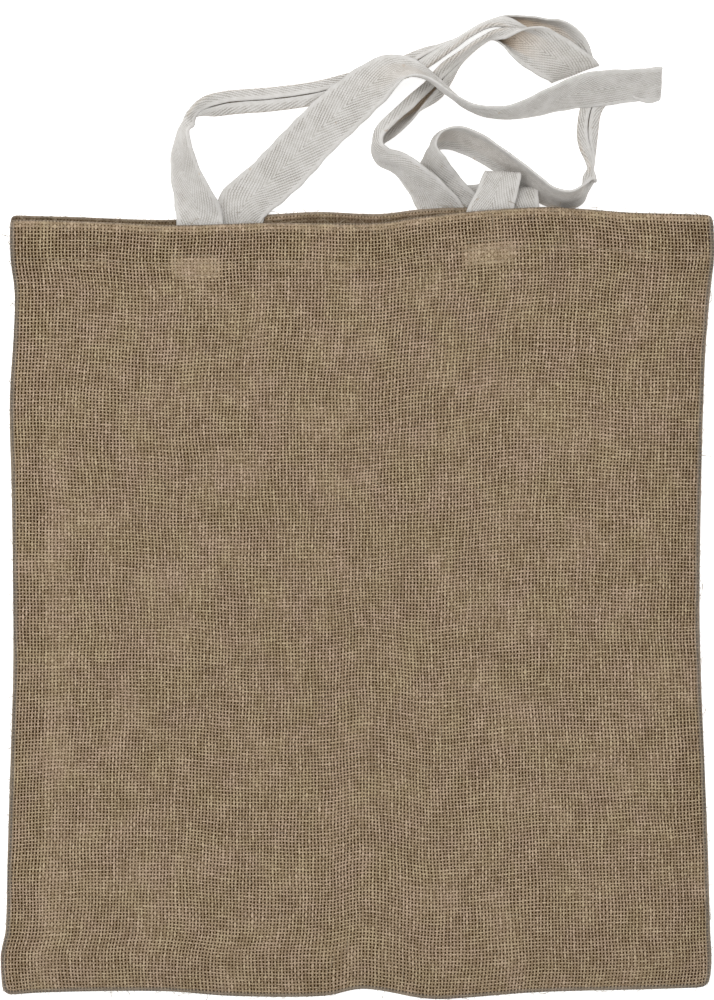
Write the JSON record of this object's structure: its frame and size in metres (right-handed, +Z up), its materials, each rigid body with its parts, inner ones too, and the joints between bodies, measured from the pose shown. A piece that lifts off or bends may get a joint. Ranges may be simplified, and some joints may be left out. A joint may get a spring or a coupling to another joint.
{
  "type": "woven tote bag",
  "caption": "Flat open tote bag in coarse open-weave cloth with a turned rim, lying on its back with its tape handles tangled above its mouth.",
  "frame": {"origin": "point on the underside of the back panel, under the middle of the lying bag, where it rests on the surface", "axes": "+Z up from the surface it lies on, +Y from the bag's bottom seam to its mouth, +X to the right as the front is read"},
  "size_m": [0.3882, 0.5376, 0.0305],
  "materials": {
    "jute_cloth": "matte open plain weave",
    "cotton_tape": "matte herringbone tape"
  },
  "bodies": {
    "root": {"back_panel": "jute_cloth", "front_panel": "jute_cloth", "back_handle": "cotton_tape", "front_handle": "cotton_tape"}
  },
  "joints": []
}
